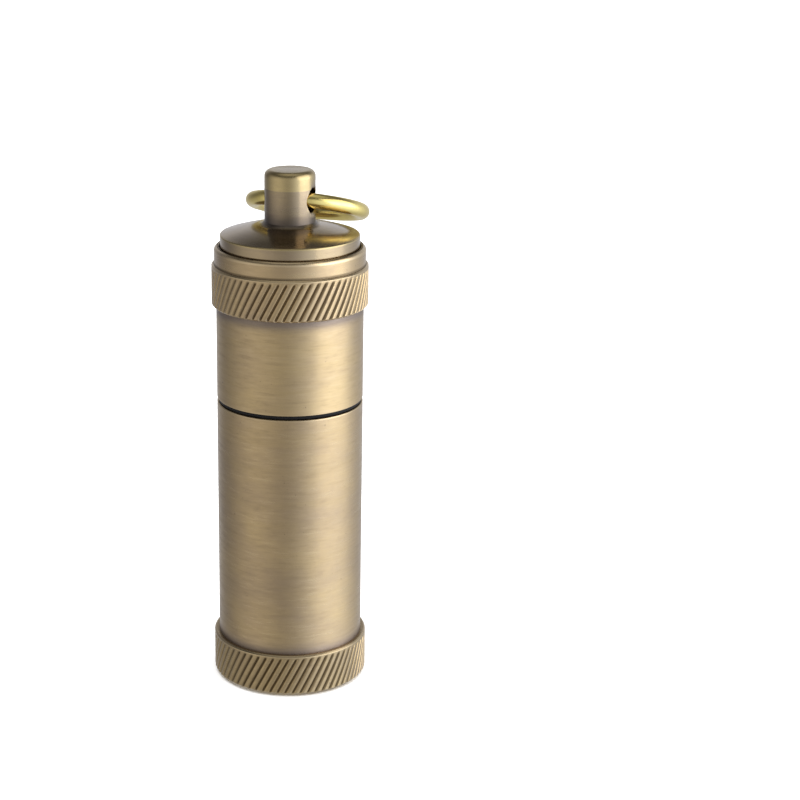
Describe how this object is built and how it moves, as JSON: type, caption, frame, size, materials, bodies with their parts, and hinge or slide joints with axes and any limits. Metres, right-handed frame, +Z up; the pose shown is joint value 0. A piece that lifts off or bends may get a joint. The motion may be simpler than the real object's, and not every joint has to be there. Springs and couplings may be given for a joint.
{
  "type": "flint spark lighter",
  "caption": "Capsule lighter with a knurled brass tank and screw cap, a flint wheel and wick on a pull-out insert, and a ring through a swivel post.",
  "frame": {"origin": "centre of the flat base that the lighter stands on", "axes": "+Z up along the tank's axis, -Y is the side seen from the front"},
  "size_m": [0.0167, 0.0195, 0.0557],
  "materials": {
    "brushed_brass": "antique brass, brushed round the tube, lacquered",
    "knurled_brass": "antique brass, diagonal knurl, dark in the grooves",
    "turned_brass": "antique brass, turned and polished",
    "ring_brass": "polished yellow brass wire",
    "thread_steel": "dark antique finish on cut threads",
    "plain_brass": "plain brass",
    "nickel": "bright nickel plate",
    "dark_steel": "hardened and blackened steel",
    "spring_steel": "drawn spring wire",
    "ferro_rod": "dull grey ferrocerium",
    "seal_rubber": "black nitrile rubber",
    "wick_cotton": "braided cotton, scorched at the tip",
    "wadding": "loose white cotton",
    "felt": "dense wool felt",
    "clear_plastic": "natural nylon washer"
  },
  "bodies": {
    "tank": {"body_tube": "brushed_brass", "base_cup": "knurled_brass", "neck_sleeve": "thread_steel", "o_ring": "seal_rubber", "insert_can": "nickel", "insert_top": "nickel", "felt_pad": "felt", "cotton_wadding": "wadding", "wick": "wick_cotton", "flint_tube": "plain_brass", "flint_screw": "plain_brass", "wheel_bracket": "nickel", "wheel_axle": "plain_brass"},
    "wheel": {"spark_wheel": "dark_steel"},
    "flint_feed": {"flint": "ferro_rod", "spring_plunger": "plain_brass", "flint_spring": "spring_steel"},
    "swivel": {"swivel_washer": "clear_plastic"},
    "cap": {"cap_shell": "brushed_brass", "cap_crown": "knurled_brass"},
    "finial": {"finial": "turned_brass", "stem_washer": "plain_brass"},
    "ring": {"key_ring": "ring_brass"}
  },
  "joints": [
    {"name": "cap_lift", "type": "slide", "parent": "tank", "child": "swivel", "axis": [0, 0, 1], "range_m": [0, 0.018]},
    {"name": "cap_turn", "type": "hinge", "parent": "swivel", "child": "cap", "pos_m": [0, 0, 0.0465], "axis": [0, 0, 1], "range_deg": [0, 8640]},
    {"name": "finial_swivel", "type": "hinge", "parent": "cap", "child": "finial", "pos_m": [0, 0, 0.0475], "axis": [0, 0, 1], "continuous": true},
    {"name": "ring_swing", "type": "hinge", "parent": "finial", "child": "ring", "pos_m": [0, 0, 0.0526], "axis": [0.9336, -0.3584, 0], "range_deg": [-11, 228]},
    {"name": "wheel_spin", "type": "hinge", "parent": "tank", "child": "wheel", "pos_m": [0.00203, -0.00108, 0.0418], "axis": [0.4695, 0.8829, 0], "continuous": true},
    {"name": "flint_slide", "type": "slide", "parent": "tank", "child": "flint_feed", "axis": [0, 0, 1], "range_m": [-0.002, 0], "stiffness_N_per_m": 100, "springref_m": 0.005, "deforming": ["flint_spring"]}
  ],
  "couplings": [
    {"joint": "cap_lift", "follows": "cap_turn", "m_per_rad": 0.00011937}
  ]
}
